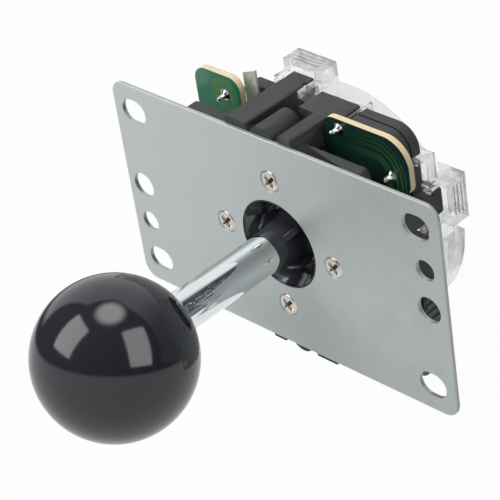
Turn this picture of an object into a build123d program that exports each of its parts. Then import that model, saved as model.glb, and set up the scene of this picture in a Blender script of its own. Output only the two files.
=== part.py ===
from build123d import *
import math
import os

# Arcade joystick lever. Lengths are millimetres.
# Origin: centre of the mounting plate's panel-side face, on the shaft axis.
# +X runs along the plate's long side, +Y along its short side, +Z along the shaft to the ball.
#
# Features that repeat round the shaft are drawn on the north (+Y) side, where
# "along" runs towards -X and "out" runs away from the shaft, and are then turned
# to the east, south and west sides.

# Mounting plate
PLATE_LENGTH = 95.0
PLATE_WIDTH = 52.8
PLATE_THICK = 1.0
PLATE_CORNER_R = 3.6
PLATE_EDGE_R = 0.25
PLATE_HOLE_R = 10.75
SLOT_EDGE_X = 6.3
SLOT_EDGE_Y = 6.6
SLOT_LENGTH = 7.4
SLOT_WIDTH = 6.0
SIDE_HOLE_EDGE = 5.0
BIG_HOLE_R = 3.12
SMALL_HOLE_R = 2.5
SMALL_HOLE_OFFSET = 9.8

# Countersunk screws that hold the plate to the housing
SCREW_CIRCLE_R = 16.0
SCREW_HEAD_R = 2.75
SCREW_R = 1.5
SCREW_LENGTH = 8.0
SCREW_CLEARANCE = 0.05
SINK_LAND = 0.1
CROSS_WIDTH = 0.7
CROSS_SPAN = 3.0
CROSS_DEPTH = 0.6

# Lever: pivot, shaft and ball
PIVOT_Z = -7.0
PIVOT_R = 6.5
TILT_LIMIT_DEG = 9.5
BALL_R = 17.5
BALL_Z = 48.4
BALL_FLAT_Z = 31.7
THREAD_R = 3.0
THREAD_DEPTH = 14.0
SHAFT_R = 4.5
SHAFT_LOW_R = 3.0
SHAFT_SHOULDER_Z = 4.2
SHAFT_END_Z = -26.5
SHAFT_CLEARANCE = 0.05
HUB_TOP_R = 5.15
HUB_STRAIGHT = 5.5
HUB_RIB_R = 7.2
HUB_RIB_WIDTH = 1.6
PIVOT_FLAT_R = 3.9

# Liner between the pivot ball and its seat
LINER_THICK = 1.2
LINER_GAP = 0.15
LINER_HOLE_R = 5.0
LINER_TOP_DROP = 0.3

# Housing
HOUSING_SIZE = 51.2
HOUSING_CORNER_R = 1.2
HOUSING_TOP_THICK = 1.8
HOUSING_SKIRT_Z = -4.6
HOUSING_WALL = 1.8
HOUSING_WEB_Z = -9.8
COLLAR_GAP = 0.15
COLLAR_WALL = 1.0
COLLAR_TOP_Z = -0.15
DISH_TOP_Z = -0.6
DISH_LOW_Z = -4.6
CUP_R = 10.6
CUP_STRAIGHT_Z = -9.0
CUP_END_Z = -14.2
CUP_END_R = 7.2
CUP_HOLE_R = 5.0
BOSS_R = 3.4
WEB_THICK = 1.4

# Ribs on each side of the housing, given as distances along and out
RIB_OUT = 28.0
RIB_IN = 20.9
LONG_RIB_ALONG = (6.0, 12.2)
LONG_RIB_END_Z = -22.3
SHORT_RIB_ALONG = (-7.1, -3.3)
HEAD_ALONG = (-10.1, 1.1)
HEAD_END_Z = -19.3
TUBE_ALONG = 1.8
TUBE_R = 3.4
TUBE_CREST = 28.4
TUBE_END_Z = -10.0
RIB_EDGE_R = 0.3
CATCH_Z = (-20.0, -18.9)
CATCH_DEPTH = 0.6

# Circuit board
BOARD_Z = -10.4
BOARD_THICK = 1.6
BOARD_MARGIN_X = 2.9
BOARD_MARGIN_Y = 1.9
BOARD_BIG_CORNER_R = 6.5
BOARD_SMALL_CORNER_R = 3.5
BOARD_HOLE_R = 13.5
BOARD_NOTCH_ALONG = (-7.6, 17.0)
BOARD_NOTCH_IN = 20.0
BOARD_TAB_R = 3.0
PIN_HOLE_R = 0.75

# Switches, plungers and their terminals
SWITCH_TOP_Z = -12.2
SWITCH_THICK = 6.4
SWITCH_LENGTH = 19.8
SWITCH_DEPTH = 10.2
SWITCH_SHIFT = 2.5
SWITCH_FACE = 9.6
SWITCH_EDGE_R = 0.4
SWITCH_HOLE_R = 1.2
SWITCH_HOLE_SPACING = 9.5
PLUNGER_TIP = 8.65
PLUNGER_TRAVEL = 0.5
PLUNGER_WIDTH = 2.4
PLUNGER_HEIGHT = 1.8
PLUNGER_FLANGE = 4.0
PLUNGER_FLANGE_THICK = 0.8
PLUNGER_GAP = 0.15
SWITCH_FRONT_WALL = 1.0
SWITCH_HOLE_INSET = 2.6
PEG_R = 1.1
PEG_HEIGHT = 4.5
TERMINAL_THICK = 0.5
TERMINAL_GAP = 0.15
CONTACT_ALONG = -11.9
CONTACT_INSET = 2.3
CONTACT_WIDTH = 1.0
COMMON_START = 5.2
COMMON_TOP_Z = -12.7
LUG_TOP_Z = -14.25
LUG_ALONG = (15.5, 19.5)
LUG_REACH = 1.1
LUG_SLANT = 1.6
LUG_HOLE_R = 0.5
LUG_HOLE_INSET = 3.0
LUG_HOLE_ALONG = 16.7
SIDE_LUG_INSET = 4.6
PIN_WIDTH = 0.8
PIN_TOP_Z = -8.7
COMMON_PIN_ALONG = 21.8
COMMON_PIN_INSET = 4.8
SIDE_PIN_ALONG = 20.9
SIDE_PIN_INSET = 5.1

# Cradle: black frame under the board that holds the switches
CRADLE_FLOOR_THICK = 2.5
CRADLE_HOLE_R = 11.2
CRADLE_INNER = 20.3
CRADLE_CORNER_R = 3.5
CORNER_X = 26.0
CORNER_Y = 27.9
CORNER_R = 5.0
CORNER_WALL = 2.4
CORNER_START_X = 11.9
CORNER_START_Y = 21.6
CORNER_END_Z = -19.3
CORNER_GROOVE = 0.4
CORNER_GROOVE_WIDTH = 0.45
CORNER_GROOVE_Z = (-14.2, -16.8)
EAR_ALONG = (12.6, 19.8)
EAR_OUT = 25.7
EAR_ROOT_INSET = 1.4
EAR_Z = (-16.2, -19.3)
FIT_GAP = 0.3

# Gate: clear frame with clips, and the dial plate with the square opening
GATE_END_Z = -27.0
GATE_R = 25.8
GATE_WALL = 2.4
GATE_FLOOR_THICK = 1.6
GATE_HOLE_R = 17.0
CLIP_ALONG = (3.4, 14.5)
CLIP_REACH = 2.7
CLIP_TOP_Z = -22.0
CLIP_LEG_NEAR = 2.1
CLIP_LEG_FAR = 1.8
CLIP_BAR_THICK = 1.5
CLIP_BAR_RIBS = 3
FOOT_OUT = (26.0, 28.0)
FOOT_TOP_Z = (-16.6, -18.6)
FIN_THICK = 0.6
NORTH_FIN_ALONG = -10.7
NORTH_FIN_OUT = 27.6
NORTH_FIN_TOP_Z = -12.3
EAST_FIN_ALONG = 20.5
EAST_FIN_TOP_Z = -16.6
EAST_ARM_OUT = (26.2, 27.4)
EAST_ARM_Z = (-22.0, -20.3)
RIM_R = 29.1
RIM_WALL = 1.4
RIM_ARC_DEG = (-50.0, -1.0)
RIM_TOP_Z = -20.4
DIAL_SIDE_GAP = 0.3
DIAL_THICK = 1.8
DIAL_OPENING = 15.9
DIAL_LIP = 1.2
DIAL_LIP_HEIGHT = 0.8
DIAL_NOTCH_R = 1.0
DIAL_NOTCHES = 8
LATCH_WIDTH = 3.0
LATCH_REACH = 0.7
LATCH_THICK = 0.8

# Actuator, spring and end fixings
ACTUATOR_R = 7.35
ACTUATOR_WALL = 0.9
ACTUATOR_TOP_Z = -15.4
ACTUATOR_FLOOR_Z = -22.2
ACTUATOR_FLOOR_THICK = 1.2
NOSE_R = 4.6
NOSE_END_Z = -25.1
RETAINER_THICK = 0.8
RETAINER_NECK_R = 4.9
RETAINER_NECK = 2.0
SPRING_R = 5.8
SPRING_WIRE_R = 0.45
SPRING_TURNS = 3.5
WASHER_R = 4.3
WASHER_THICK = 0.4
CLIP_R = 3.9
CLIP_THICK = 0.6
GROOVE_DEPTH = 0.6
CLIP_MOUTH = 3.6

# Connector header and its pins
HEADER_PITCH = 2.5
HEADER_PINS = 5
HEADER_END = 1.2
HEADER_START = -13.1
HEADER_DEPTH = 6.7
HEADER_REACH = 1.0
HEADER_HEIGHT = 5.0
HEADER_WALL = 0.8
HEADER_PIN = 0.64
HEADER_PIN_RISE = 1.2
HEADER_SLOT_WIDTH = 4.0
HEADER_SLOT_DEPTH = 2.0

NORTH, EAST, SOUTH, WEST = 0, 1, 2, 3
SIDE_NAMES = ("north", "east", "south", "west")

# Places that follow from the sizes above
SLOT_SPACING_X = PLATE_LENGTH - 2 * SLOT_EDGE_X
SLOT_SPACING_Y = PLATE_WIDTH - 2 * SLOT_EDGE_Y
SIDE_HOLE_SPACING = PLATE_LENGTH - 2 * SIDE_HOLE_EDGE
BOARD_LENGTH = 2 * (RIB_OUT + BOARD_MARGIN_X)
BOARD_WIDTH = 2 * (RIB_OUT + BOARD_MARGIN_Y)
CLIP_OUT = RIB_OUT + CLIP_REACH
LUG_OUT = BOARD_WIDTH / 2 + LUG_REACH
SIDE_LUG_OUT = BOARD_LENGTH / 2 - SIDE_LUG_INSET
CONTACT_OUT = BOARD_WIDTH / 2 - CONTACT_INSET
COMMON_PIN = (COMMON_PIN_ALONG, BOARD_WIDTH / 2 - COMMON_PIN_INSET)
SIDE_COMMON_PIN = (SIDE_PIN_ALONG, BOARD_LENGTH / 2 - SIDE_PIN_INSET)
HEADER_OUT = BOARD_WIDTH / 2 + HEADER_REACH
HEADER_IN = HEADER_OUT - HEADER_DEPTH
BOARD_LOW_Z = BOARD_Z - BOARD_THICK
SWITCH_LOW_Z = SWITCH_TOP_Z - SWITCH_THICK
SWITCH_MID_Z = SWITCH_TOP_Z - SWITCH_THICK / 2
SWITCH_BACK = SWITCH_FACE + SWITCH_DEPTH
CRADLE_LOW_Z = SWITCH_LOW_Z - CRADLE_FLOOR_THICK
CUP_SEAT_R = PIVOT_R + LINER_THICK + 2 * LINER_GAP
COLLAR_R = PLATE_HOLE_R - COLLAR_GAP
DISH_R = COLLAR_R - COLLAR_WALL
SINK_DEPTH = PLATE_THICK - SINK_LAND
GATE_FLOOR_Z = GATE_END_Z + GATE_FLOOR_THICK
DIAL_R = GATE_R - GATE_WALL - DIAL_SIDE_GAP
DIAL_TOP_Z = GATE_FLOOR_Z + DIAL_THICK
RETAINER_TOP_Z = ACTUATOR_FLOOR_Z + ACTUATOR_FLOOR_THICK + RETAINER_THICK


def block(along, out, z):
    """A box on the north side, from its ranges along the side, outwards and in height."""
    (a0, a1), (o0, o1), (z0, z1) = sorted(along), sorted(out), sorted(z)
    return Pos(-(a0 + a1) / 2, (o0 + o1) / 2, (z0 + z1) / 2) * Box(a1 - a0, o1 - o0, z1 - z0)


def turned(shape, side):
    """Turns a north-side shape to another side."""
    return shape.rotate(Axis.Z, -90.0 * side)


def disc(radius, z0, z1, x=0.0, y=0.0):
    """A round bar between two heights."""
    return Pos(x, y, (z0 + z1) / 2) * Cylinder(radius, abs(z1 - z0))


def cone(r_low, z_low, r_high, z_high):
    """A cone or taper between two heights."""
    return Pos(0, 0, (z_low + z_high) / 2) * Cone(r_low, r_high, z_high - z_low)


def mounting_plate():
    """Pressed steel plate with rounded corners, slots, side holes and countersinks."""
    plate = extrude(RectangleRounded(PLATE_LENGTH, PLATE_WIDTH, PLATE_CORNER_R), -PLATE_THICK)
    rims = plate.faces().sort_by(Axis.Z)
    plate = fillet(rims[0].edges() + rims[-1].edges(), PLATE_EDGE_R)
    plate -= disc(PLATE_HOLE_R, -2 * PLATE_THICK, PLATE_THICK)
    slot = extrude(SlotOverall(SLOT_LENGTH, SLOT_WIDTH), 2 * PLATE_THICK, both=True)
    for x in (-SLOT_SPACING_X / 2, SLOT_SPACING_X / 2):
        for y in (-SLOT_SPACING_Y / 2, SLOT_SPACING_Y / 2):
            plate -= Pos(x, y, 0) * slot
    for side in (-1, 1):
        x = side * SIDE_HOLE_SPACING / 2
        plate -= disc(BIG_HOLE_R, -2 * PLATE_THICK, PLATE_THICK, x, 0)
        plate -= disc(SMALL_HOLE_R, -2 * PLATE_THICK, PLATE_THICK, x, side * SMALL_HOLE_OFFSET)
    sink = cone(SCREW_R + SCREW_CLEARANCE, -SINK_DEPTH, SCREW_HEAD_R + SCREW_CLEARANCE, 0)
    hole = disc(SCREW_R + SCREW_CLEARANCE, -2 * PLATE_THICK, PLATE_THICK) + sink
    for side in range(4):
        plate -= turned(Pos(0, SCREW_CIRCLE_R, 0) * hole, side)
    return plate


def plate_screws():
    """Four cross-recess countersunk screws through the plate into the housing's bosses."""
    top = -SCREW_CLEARANCE
    head = cone(SCREW_R - SCREW_CLEARANCE, top - SINK_DEPTH, SCREW_HEAD_R - SCREW_CLEARANCE, top)
    screw = head + disc(SCREW_R - SCREW_CLEARANCE, -SCREW_LENGTH, top - SINK_DEPTH)
    for angle in (45.0, 135.0):
        bar = Pos(0, 0, top) * Box(CROSS_SPAN, CROSS_WIDTH, 2 * CROSS_DEPTH)
        screw -= bar.rotate(Axis.Z, angle)
    return Compound(children=[turned(Pos(0, SCREW_CIRCLE_R, 0) * screw, k) for k in range(4)])


def housing_ribs(side):
    """The ribs on one side of the housing: a long one, a short one with a wide head, a tube."""
    out = (RIB_IN, RIB_OUT)
    long_rib = block(LONG_RIB_ALONG, out, (-PLATE_THICK, LONG_RIB_END_Z))
    long_rib = chamfer(outer_edges(long_rib, RIB_OUT), RIB_EDGE_R)
    for edge, sign in ((LONG_RIB_ALONG[0], 1), (LONG_RIB_ALONG[1], -1)):
        long_rib -= block((edge, edge + sign * CATCH_DEPTH), (RIB_IN - 1, RIB_OUT + 1), CATCH_Z)
    short_rib = block(SHORT_RIB_ALONG, out, (-PLATE_THICK, BOARD_LOW_Z))
    short_rib = chamfer(outer_edges(short_rib, RIB_OUT), RIB_EDGE_R)
    head = block(HEAD_ALONG, out, (BOARD_LOW_Z, HEAD_END_Z))
    head = chamfer(outer_edges(head, RIB_OUT), RIB_EDGE_R)
    between = (SHORT_RIB_ALONG[1], LONG_RIB_ALONG[0])
    back = block(between, (RIB_IN, RIB_IN + HOUSING_WALL), (-PLATE_THICK, BOARD_LOW_Z))
    tube = disc(TUBE_R, -PLATE_THICK, TUBE_END_Z, -TUBE_ALONG, TUBE_CREST - TUBE_R)
    tube += block((TUBE_ALONG - TUBE_R, TUBE_ALONG + TUBE_R), (RIB_IN, TUBE_CREST - TUBE_R),
                  (-PLATE_THICK, TUBE_END_Z))
    return turned(long_rib + short_rib + head + back + tube, side)


def outer_edges(shape, out):
    """The upright edges of a north-side box on its outer face."""
    return [e for e in shape.edges().filter_by(Axis.Z) if e.center().Y > out - 0.01]


def housing():
    """Black moulded body: collar in the plate, cup for the pivot, skirt, bosses and ribs."""
    top_z = -PLATE_THICK
    roof_z = top_z - HOUSING_TOP_THICK
    outline = RectangleRounded(HOUSING_SIZE, HOUSING_SIZE, HOUSING_CORNER_R)
    inner_size = HOUSING_SIZE - 2 * HOUSING_WALL
    inner = RectangleRounded(inner_size, inner_size, HOUSING_CORNER_R)
    body = Pos(0, 0, top_z) * extrude(outline, HOUSING_SKIRT_Z - top_z)
    body -= Pos(0, 0, roof_z) * extrude(inner, HOUSING_SKIRT_Z - roof_z - 1.0)
    for angle in (45.0, 135.0):
        web = Pos(0, 0, (roof_z + HOUSING_SKIRT_Z) / 2) * Box(
            HOUSING_SIZE * math.sqrt(2) - 2 * HOUSING_WALL, WEB_THICK, roof_z - HOUSING_SKIRT_Z)
        body += web.rotate(Axis.Z, angle)
    for angle in (0.0, 90.0):
        web = Pos(0, 0, (roof_z + HOUSING_WEB_Z) / 2) * Box(
            2 * RIB_IN + 1.0, WEB_THICK, roof_z - HOUSING_WEB_Z)
        body += web.rotate(Axis.Z, angle)
    body += disc(COLLAR_R, top_z, COLLAR_TOP_Z)
    body += disc(CUP_R, CUP_STRAIGHT_Z, roof_z)
    body += cone(CUP_END_R, CUP_END_Z, CUP_R, CUP_STRAIGHT_Z)
    for side in range(4):
        body += turned(disc(BOSS_R, BOARD_Z, roof_z, 0, SCREW_CIRCLE_R), side)
        body += housing_ribs(side)
    # Seat, dish and the hole that the shaft leans in
    body -= Pos(0, 0, PIVOT_Z) * Sphere(CUP_SEAT_R)
    body -= disc(CUP_SEAT_R, PIVOT_Z, DISH_LOW_Z)
    body -= cone(CUP_SEAT_R, DISH_LOW_Z, DISH_R, DISH_TOP_Z)
    body -= disc(DISH_R, DISH_TOP_Z, 1.0)
    body -= disc(CUP_HOLE_R, 2 * CUP_END_Z, PIVOT_Z)
    for side in range(4):
        pilot = disc(SCREW_R + SCREW_CLEARANCE, -SCREW_LENGTH - 0.5, 0, 0, SCREW_CIRCLE_R)
        body -= turned(pilot, side)
    return body


def pivot_liner():
    """Thin half-round liner that turns in the housing's cup."""
    inner_r = PIVOT_R + LINER_GAP
    liner = Pos(0, 0, PIVOT_Z) * Sphere(inner_r + LINER_THICK)
    liner -= Pos(0, 0, PIVOT_Z) * Sphere(inner_r)
    liner -= disc(2 * PIVOT_R, PIVOT_Z - LINER_TOP_DROP, PIVOT_Z + 2 * PIVOT_R)
    liner -= disc(LINER_HOLE_R, PIVOT_Z - 2 * PIVOT_R, PIVOT_Z)
    return liner


def pivot_ball():
    """Pivot ball with a ribbed bell on top that the shaft's shoulder sits on."""
    bell_z = PIVOT_Z + HUB_STRAIGHT
    with BuildPart() as bell:
        with BuildSketch(Plane.XZ):
            with BuildLine():
                Line((0, PIVOT_Z), (PIVOT_R, PIVOT_Z))
                Line((PIVOT_R, PIVOT_Z), (PIVOT_R, bell_z))
                ThreePointArc((PIVOT_R, bell_z),
                              ((PIVOT_R + HUB_TOP_R) / 2 + 0.25, (bell_z + SHAFT_SHOULDER_Z) / 2),
                              (HUB_TOP_R, SHAFT_SHOULDER_Z))
                Line((HUB_TOP_R, SHAFT_SHOULDER_Z), (0, SHAFT_SHOULDER_Z))
                Line((0, SHAFT_SHOULDER_Z), (0, PIVOT_Z))
            make_face()
        revolve(axis=Axis.Z)
    ball = bell.part + Pos(0, 0, PIVOT_Z) * Sphere(PIVOT_R)
    # Ribs between the four hollows of the bell, with sloping tops
    for angle in (45.0, 135.0):
        rib = Pos(0, 0, PIVOT_Z + HUB_STRAIGHT / 2) * Box(
            2 * HUB_RIB_R, HUB_RIB_WIDTH, HUB_STRAIGHT)
        rib -= disc(PIVOT_R - 1.0, PIVOT_Z - 1, SHAFT_SHOULDER_Z)
        slope = cone(2 * HUB_RIB_R, PIVOT_Z - HUB_RIB_R / 3, HUB_TOP_R, bell_z)
        rib &= slope
        rib &= cone(PIVOT_R, PIVOT_Z, HUB_RIB_R, PIVOT_Z + HUB_STRAIGHT * 0.6) + disc(
            HUB_RIB_R, PIVOT_Z + HUB_STRAIGHT * 0.6, bell_z)
        ball += rib.rotate(Axis.Z, angle)
    flat_z = PIVOT_Z - math.sqrt(PIVOT_R ** 2 - PIVOT_FLAT_R ** 2)
    ball -= disc(2 * PIVOT_R, PIVOT_Z - 2 * PIVOT_R, flat_z)
    ball -= disc(SHAFT_LOW_R + SHAFT_CLEARANCE, 2 * PIVOT_Z - PIVOT_R, SHAFT_SHOULDER_Z + 1)
    return ball


def shaft():
    """Chromed steel shaft: threaded top, thick grip length, shoulder, thin lower end, groove."""
    clip_top = NOSE_END_Z - WASHER_THICK
    rod = disc(SHAFT_R, SHAFT_SHOULDER_Z, BALL_FLAT_Z)
    rod += disc(THREAD_R, BALL_FLAT_Z, BALL_FLAT_Z + THREAD_DEPTH - 1.0)
    rod += disc(SHAFT_LOW_R, SHAFT_END_Z, SHAFT_SHOULDER_Z)
    ring = disc(2 * SHAFT_R, clip_top - CLIP_THICK - SHAFT_CLEARANCE, clip_top)
    ring -= disc(SHAFT_LOW_R - GROOVE_DEPTH, SHAFT_END_Z, PIVOT_Z)
    rod -= ring
    ends = rod.faces().sort_by(Axis.Z)
    rod = chamfer(ends[0].edges() + ends[-1].edges(), 0.15)
    return rod


def ball_top():
    """Moulded ball with a flat round its threaded hole."""
    ball = Pos(0, 0, BALL_Z) * Sphere(BALL_R)
    ball -= disc(BALL_R, BALL_FLAT_Z - BALL_R, BALL_FLAT_Z)
    ball -= disc(THREAD_R + SHAFT_CLEARANCE, BALL_FLAT_Z - 1, BALL_FLAT_Z + THREAD_DEPTH)
    return ball


def actuator():
    """Cup round the spring that presses the plungers, with a nose in the gate's opening."""
    body = disc(ACTUATOR_R, ACTUATOR_FLOOR_Z, ACTUATOR_TOP_Z)
    body += disc(NOSE_R, NOSE_END_Z, ACTUATOR_FLOOR_Z)
    body -= disc(ACTUATOR_R - ACTUATOR_WALL, ACTUATOR_FLOOR_Z + ACTUATOR_FLOOR_THICK, ACTUATOR_TOP_Z)
    body -= disc(SHAFT_LOW_R + SHAFT_CLEARANCE, NOSE_END_Z, ACTUATOR_TOP_Z)
    return body


def spring_retainer():
    """Flanged bush at the bottom of the actuator cup that centres the spring."""
    low = RETAINER_TOP_Z - RETAINER_THICK
    body = disc(ACTUATOR_R - ACTUATOR_WALL - 0.1, low, RETAINER_TOP_Z)
    body += disc(RETAINER_NECK_R, RETAINER_TOP_Z, RETAINER_TOP_Z + RETAINER_NECK)
    body -= disc(SHAFT_LOW_R + SHAFT_CLEARANCE, low, RETAINER_TOP_Z + RETAINER_NECK)
    return body


def centering_spring():
    """Compression spring between the housing's cup and the retainer."""
    low = RETAINER_TOP_Z + SPRING_WIRE_R + 0.05
    high = CUP_END_Z - SPRING_WIRE_R - 0.05
    path = Pos(0, 0, low) * Helix((high - low) / SPRING_TURNS, high - low, SPRING_R)
    section = Plane(origin=path @ 0, z_dir=path % 0) * Circle(SPRING_WIRE_R)
    return sweep(section, path=path, is_frenet=True)


def clip_washer():
    """Flat washer between the actuator's nose and the retaining clip."""
    low = NOSE_END_Z - WASHER_THICK
    return disc(WASHER_R, low, NOSE_END_Z) - disc(SHAFT_LOW_R + SHAFT_CLEARANCE, low, NOSE_END_Z)


def retaining_clip():
    """Open retaining ring in the groove at the shaft's lower end."""
    top = NOSE_END_Z - WASHER_THICK
    low = top - CLIP_THICK
    ring = disc(CLIP_R, low, top)
    ring -= disc(SHAFT_LOW_R - GROOVE_DEPTH + SHAFT_CLEARANCE, low, top)
    mouth = Pos(0, -CLIP_R, (low + top) / 2) * Box(CLIP_MOUTH, 2 * CLIP_R, CLIP_THICK)
    return ring - mouth


def circuit_board():
    """Green board with rounded corners, a notch on each side and a round middle hole."""
    board = Pos(0, 0, BOARD_LOW_Z + BOARD_THICK / 2) * Box(BOARD_LENGTH, BOARD_WIDTH, BOARD_THICK)
    corners = board.edges().filter_by(Axis.Z)
    big = [e for e in corners if e.center().X * e.center().Y > 0]
    small = [e for e in corners if e.center().X * e.center().Y < 0]
    board = fillet(big, BOARD_BIG_CORNER_R)
    small = [e for e in board.edges().filter_by(Axis.Z)
             if abs(e.center().X) > BOARD_LENGTH / 2 - 0.01 and abs(e.center().Y) > BOARD_WIDTH / 2 - 0.01]
    board = fillet(small, BOARD_SMALL_CORNER_R)
    for side in range(4):
        edge = BOARD_WIDTH / 2 if side in (NORTH, SOUTH) else BOARD_LENGTH / 2
        notch = block(BOARD_NOTCH_ALONG, (BOARD_NOTCH_IN, edge + 1), (BOARD_Z + 1, BOARD_LOW_Z - 1))
        for along, sign in ((BOARD_NOTCH_ALONG[0], -1), (BOARD_NOTCH_ALONG[1], 1)):
            # A rounded outer corner of the board, cut as a square less a round
            corner = block((along, along + sign * BOARD_TAB_R), (edge - BOARD_TAB_R, edge + 1),
                           (BOARD_Z + 1, BOARD_LOW_Z - 1))
            corner -= disc(BOARD_TAB_R, BOARD_LOW_Z - 2, BOARD_Z + 2,
                           -(along + sign * BOARD_TAB_R), edge - BOARD_TAB_R)
            notch += corner
        board -= turned(notch, side)
        for along, out in terminal_pins(side):
            hole = disc(PIN_HOLE_R, BOARD_LOW_Z - 1, BOARD_Z + 1, -along, out)
            board -= turned(hole, side)
    board -= disc(BOARD_HOLE_R, BOARD_LOW_Z - 1, BOARD_Z + 1)
    for n in range(HEADER_PINS):
        hole = disc(PIN_HOLE_R, BOARD_LOW_Z - 1, BOARD_Z + 1, -header_pin_along(n), header_pin_out())
        board -= turned(hole, SOUTH)
    return board


def common_pin(side):
    """Place of the common terminal's pin, along and out."""
    return COMMON_PIN if side in (NORTH, SOUTH) else SIDE_COMMON_PIN


def terminal_pins(side):
    """Places of the two pins of one switch, along and out."""
    return ((CONTACT_ALONG, CONTACT_OUT), common_pin(side))


def switch_hole(sign):
    """Place of a mounting hole of the north switch."""
    return SWITCH_SHIFT + sign * SWITCH_HOLE_SPACING / 2, SWITCH_BACK - SWITCH_HOLE_INSET


def switch_case(side):
    """Sealed case of one small pin-plunger switch, with its mounting holes and plunger slot."""
    along = (-SWITCH_LENGTH / 2 - SWITCH_SHIFT, SWITCH_LENGTH / 2 - SWITCH_SHIFT)
    case = block(along, (SWITCH_FACE, SWITCH_BACK), (SWITCH_LOW_Z, SWITCH_TOP_Z))
    case = fillet(case.edges().filter_by(Axis.Z), SWITCH_EDGE_R)
    for sign in (-1, 1):
        case -= disc(SWITCH_HOLE_R, SWITCH_LOW_Z - 1, SWITCH_TOP_Z + 1, *switch_hole(sign))
    half = PLUNGER_WIDTH / 2 + PLUNGER_GAP
    tall = PLUNGER_HEIGHT / 2 + PLUNGER_GAP
    wide = PLUNGER_FLANGE / 2 + PLUNGER_GAP
    z = (SWITCH_MID_Z - tall, SWITCH_MID_Z + tall)
    case -= block((-half, half), (SWITCH_FACE - 1, SWITCH_FACE + SWITCH_FRONT_WALL), z)
    pocket = 2 * PLUNGER_TRAVEL + PLUNGER_FLANGE_THICK + 2 * PLUNGER_GAP
    case -= block((-wide, wide), (SWITCH_FACE + SWITCH_FRONT_WALL,
                                  SWITCH_FACE + SWITCH_FRONT_WALL + pocket), z)
    return turned(case, side)


def plunger(side):
    """Plunger of one switch, drawn half pressed, with the flange that keeps it in."""
    half = PLUNGER_WIDTH / 2
    tall = PLUNGER_HEIGHT / 2
    z = (SWITCH_MID_Z - tall, SWITCH_MID_Z + tall)
    flange = SWITCH_FACE + SWITCH_FRONT_WALL + PLUNGER_TRAVEL + PLUNGER_GAP
    pin = block((-half, half), (PLUNGER_TIP, flange), z)
    tip = [e for e in pin.edges().filter_by(Axis.Z) if e.center().Y < PLUNGER_TIP + 0.01]
    pin = fillet(tip, 0.7)
    pin += block((-PLUNGER_FLANGE / 2, PLUNGER_FLANGE / 2), (flange, flange + PLUNGER_FLANGE_THICK), z)
    return turned(pin, side)


def board_pin(along, out, low_z):
    """The tail of a terminal, up through the board."""
    half = PIN_WIDTH / 2
    return block((along - half, along + half), (out - TERMINAL_THICK / 2, out + TERMINAL_THICK / 2),
                 (low_z, PIN_TOP_Z))


def contact_terminal(side):
    """Flat strip from the switch's back, under the board, with its end bent up as a pin."""
    half = CONTACT_WIDTH / 2
    top = COMMON_TOP_Z - TERMINAL_GAP
    strip = block((CONTACT_ALONG - half, CONTACT_ALONG + half),
                  (SWITCH_BACK, CONTACT_OUT + TERMINAL_THICK / 2), (top - TERMINAL_THICK, top))
    strip += board_pin(CONTACT_ALONG, CONTACT_OUT, top - TERMINAL_THICK)
    return turned(strip, side)


def common_terminal(side):
    """Folded strip along the switch's back, out as a lug under the board, and up as a pin."""
    inner = SWITCH_BACK + TERMINAL_GAP
    outer = inner + TERMINAL_THICK
    low = LUG_TOP_Z - TERMINAL_THICK
    strip = block((COMMON_START, COMMON_START + 2.0), (SWITCH_BACK, outer), (low, COMMON_TOP_Z))
    strip += block((COMMON_START, LUG_ALONG[1]), (inner, outer), (low, COMMON_TOP_Z))
    lug_out = LUG_OUT if side in (NORTH, SOUTH) else SIDE_LUG_OUT
    lug = block(LUG_ALONG, (inner, lug_out), (low, LUG_TOP_Z))
    if side in (NORTH, SOUTH):
        slope = Polyline((-LUG_ALONG[0], lug_out), (-LUG_ALONG[1], lug_out),
                         (-LUG_ALONG[1], lug_out - LUG_SLANT), close=True)
        lug -= Pos(0, 0, low - 1) * extrude(make_face(slope), TERMINAL_THICK + 2)
        lug -= disc(LUG_HOLE_R, low - 1, LUG_TOP_Z + 1, -LUG_HOLE_ALONG, LUG_OUT - LUG_HOLE_INSET)
    along, out = common_pin(side)
    half = CONTACT_WIDTH / 2
    arm = block((LUG_ALONG[1], along + PIN_WIDTH / 2), (out - half, out + half), (low, LUG_TOP_Z))
    return turned(strip + lug + arm + board_pin(along, out, low), side)


def switch_cradle():
    """Black frame under the board: floor and pegs for the switches, a corner wall and ears."""
    floor_z = (CRADLE_LOW_Z, SWITCH_LOW_Z)
    square = RectangleRounded(2 * CRADLE_INNER, 2 * CRADLE_INNER, CRADLE_CORNER_R)
    body = Pos(0, 0, floor_z[0]) * extrude(square, CRADLE_FLOOR_THICK)
    body += corner_wall()
    for side in range(4):
        body += turned(block(EAR_ALONG, (CRADLE_INNER - 2, EAR_OUT), EAR_Z), side)
        root = (EAR_ALONG[0], EAR_ALONG[1] - EAR_ROOT_INSET)
        body += turned(block(root, (CRADLE_INNER - 2, CRADLE_INNER), (EAR_Z[0], floor_z[0])), side)
        for sign in (-1, 1):
            peg = disc(PEG_R, SWITCH_LOW_Z, SWITCH_LOW_Z + PEG_HEIGHT, *switch_hole(sign))
            body += turned(peg, side)
        body -= turned(cradle_cuts(), side)
    body -= disc(CRADLE_HOLE_R, floor_z[0] - 1, floor_z[1] + 1)
    return body


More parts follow.
